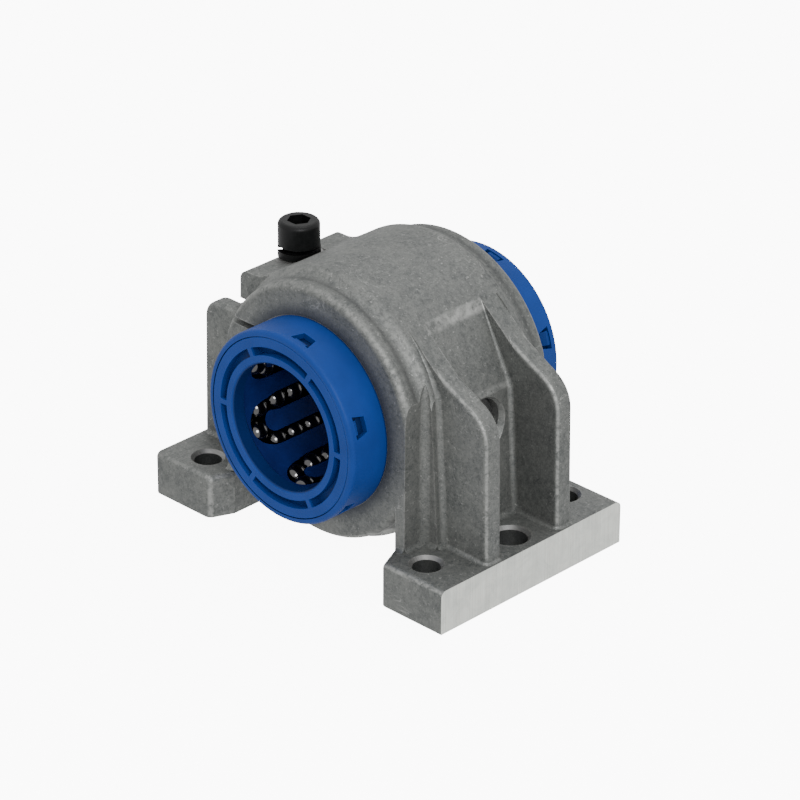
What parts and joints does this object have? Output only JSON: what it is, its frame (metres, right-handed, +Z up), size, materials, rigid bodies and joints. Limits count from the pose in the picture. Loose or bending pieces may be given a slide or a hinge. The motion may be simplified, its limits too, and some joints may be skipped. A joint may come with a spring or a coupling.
{
  "type": "linear bearing block",
  "caption": "Cast pillow block on two feet that clamps a closed ball bushing, with a slotted ear, adjusting screw, ribbed sides and bolt holes in its feet.",
  "frame": {"origin": "on the mounting plane, straight under the middle of the bore", "axes": "+Z up, +Y along the shaft towards the back, +X towards the machined reference edge"},
  "size_m": [0.095, 0.068, 0.0693],
  "materials": {
    "cast_aluminium": "cast, machined faces",
    "blue_plastic": "satin moulded",
    "cage_plastic": "satin moulded",
    "ball_steel": "polished",
    "plate_steel": "ground",
    "black_steel": "black oxide"
  },
  "bodies": {
    "block": {"housing": "cast_aluminium", "outer_sleeve": "blue_plastic", "ball_retainer": "cage_plastic", "end_cap_front": "blue_plastic", "end_cap_rear": "blue_plastic", "load_plate_1": "plate_steel", "load_plate_2": "plate_steel", "load_plate_3": "plate_steel", "load_plate_4": "plate_steel", "load_plate_5": "plate_steel", "load_plate_6": "plate_steel", "ball_circuit_1": "ball_steel", "ball_circuit_2": "ball_steel", "ball_circuit_3": "ball_steel", "ball_circuit_4": "ball_steel", "ball_circuit_5": "ball_steel", "ball_circuit_6": "ball_steel", "locating_screw": "plate_steel"},
    "washer": {"lock_washer": "black_steel"},
    "screw": {"adjusting_screw": "black_steel"}
  },
  "joints": [
    {"name": "washer_rise", "type": "slide", "parent": "block", "child": "washer", "axis": [0, 0, 1], "range_m": [0, 0.005]},
    {"name": "screw_turn", "type": "hinge", "parent": "washer", "child": "screw", "pos_m": [-0.0282, 0, 0.062], "axis": [0, 0, 1], "range_deg": [0, 1800]}
  ],
  "couplings": [
    {"joint": "screw_turn", "follows": "washer_rise", "rad_per_m": 6283.2}
  ]
}
